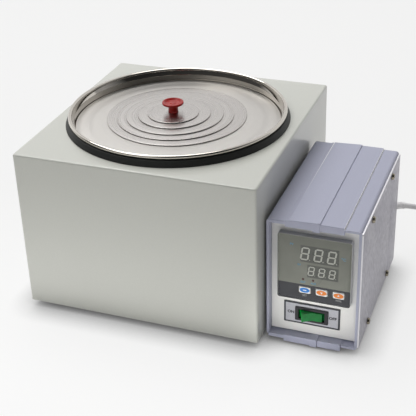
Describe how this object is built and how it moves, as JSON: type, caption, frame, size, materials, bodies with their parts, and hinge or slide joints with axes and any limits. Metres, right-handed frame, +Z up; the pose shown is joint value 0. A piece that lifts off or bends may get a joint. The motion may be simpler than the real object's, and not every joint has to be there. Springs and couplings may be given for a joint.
{
  "type": "laboratory water bath",
  "caption": "Square bench water bath with a round pot, a cover of concentric lift-off rings with a knob, and a control box with a digital temperature controller and rocker switch.",
  "frame": {"origin": "on the bench, under the middle of the instrument's box, measured without the cord", "axes": "+X along the front towards the control box, +Y to the back, +Z up"},
  "size_m": [0.5131, 0.277, 0.198],
  "materials": {
    "casing_paint": "glossy light grey enamel",
    "plain_steel": "zinc plated",
    "screw_steel": "nickel plated",
    "foot_rubber": "black rubber",
    "black_rubber": "black rubber, satin",
    "pot_steel": "polished stainless steel",
    "cover_steel": "satin stainless steel",
    "red_plastic": "red moulded plastic",
    "element_steel": "stainless tube",
    "brass_fittings": "turned brass",
    "mineral_wool": "mineral wool",
    "housing_plastic": "blue-grey moulded plastic",
    "side_aluminium": "mottled aluminium sheet",
    "panel_paint": "off-white painted sheet",
    "grey_plastic": "light grey plastic",
    "lens_film": "olive grey window",
    "board_green": "circuit board",
    "display_grey": "digit modules and lamps",
    "button_white": "white key pads",
    "black_plastic": "black plastic",
    "label_grey": "grey plate with a dark border",
    "rocker_green": "translucent green plastic",
    "terminal_brass": "brass blades",
    "fin_aluminium": "extruded aluminium",
    "terminal_white": "moulded plastic",
    "cord_grey": "light grey flexible plastic"
  },
  "bodies": {
    "bath": {"base_screws": "plain_steel", "bottom_plate": "casing_paint", "box_bolts": "plain_steel", "box_nuts": "plain_steel", "box_spacers": "black_plastic", "control_housing": "housing_plastic", "controller_back": "black_plastic", "controller_case": "grey_plastic", "controller_clamp": "black_plastic", "controller_lens": "lens_film", "cord_coil": "cord_grey", "cord_tie": "black_plastic", "display_board": "board_green", "element_fittings": "brass_fittings", "element_nuts": "brass_fittings", "feet": "foot_rubber", "foot_nuts": "plain_steel", "foot_screws": "plain_steel", "front_panel": "panel_paint", "heat_sink": "fin_aluminium", "heating_element": "element_steel", "indicator_leds": "display_grey", "insulation": "mineral_wool", "key_switches": "black_plastic", "lower_display": "display_grey", "outer_casing": "casing_paint", "plug_body": "cord_grey", "plug_pins": "terminal_brass", "pot": "pot_steel", "power_cord": "cord_grey", "probe_fitting": "brass_fittings", "rear_panel": "panel_paint", "rear_panel_screws": "screw_steel", "relay": "black_plastic", "rim_gasket": "black_rubber", "side_plate": "side_aluminium", "side_plate_screws": "screw_steel", "strain_relief": "cord_grey", "switch_body": "black_plastic", "switch_plate": "label_grey", "switch_terminals": "terminal_brass", "temperature_probe": "element_steel", "terminal_block": "terminal_white", "upper_display": "display_grey", "wire_bushing": "black_rubber"},
    "cover_plate_body": {"cover_plate": "cover_steel"},
    "cover_ring_4_body": {"cover_ring_4": "cover_steel"},
    "cover_ring_3_body": {"cover_ring_3": "cover_steel"},
    "cover_ring_2_body": {"cover_ring_2": "cover_steel"},
    "cover_ring_1_body": {"cover_ring_1": "cover_steel"},
    "centre_disc_body": {"centre_disc": "cover_steel", "knob": "red_plastic", "knob_screw": "plain_steel"},
    "switch_rocker_body": {"switch_rocker": "rocker_green"},
    "set_button_body": {"set_button": "button_white"},
    "down_button_body": {"down_button": "button_white"},
    "up_button_body": {"up_button": "button_white"}
  },
  "joints": [
    {"name": "cover_plate_lift", "type": "slide", "parent": "bath", "child": "cover_plate_body", "axis": [0, 0, 1], "range_m": [0, 0.05]},
    {"name": "cover_ring_4_lift", "type": "slide", "parent": "cover_plate_body", "child": "cover_ring_4_body", "axis": [0, 0, 1], "range_m": [0, 0.05]},
    {"name": "cover_ring_3_lift", "type": "slide", "parent": "cover_ring_4_body", "child": "cover_ring_3_body", "axis": [0, 0, 1], "range_m": [0, 0.05]},
    {"name": "cover_ring_2_lift", "type": "slide", "parent": "cover_ring_3_body", "child": "cover_ring_2_body", "axis": [0, 0, 1], "range_m": [0, 0.05]},
    {"name": "cover_ring_1_lift", "type": "slide", "parent": "cover_ring_2_body", "child": "cover_ring_1_body", "axis": [0, 0, 1], "range_m": [0, 0.05]},
    {"name": "centre_disc_lift", "type": "slide", "parent": "cover_ring_1_body", "child": "centre_disc_body", "axis": [0, 0, 1], "range_m": [0, 0.05]},
    {"name": "switch_rocker_tilt", "type": "hinge", "parent": "bath", "child": "switch_rocker_body", "pos_m": [0.1229, -0.0991, 0.0331], "axis": [0, 0, -1], "range_deg": [0, 24]},
    {"name": "set_button_press", "type": "slide", "parent": "bath", "child": "set_button_body", "axis": [0, 1, 0], "range_m": [0, 0.0008], "stiffness_N_per_m": 400},
    {"name": "down_button_press", "type": "slide", "parent": "bath", "child": "down_button_body", "axis": [0, 1, 0], "range_m": [0, 0.0008], "stiffness_N_per_m": 400},
    {"name": "up_button_press", "type": "slide", "parent": "bath", "child": "up_button_body", "axis": [0, 1, 0], "range_m": [0, 0.0008], "stiffness_N_per_m": 400}
  ]
}
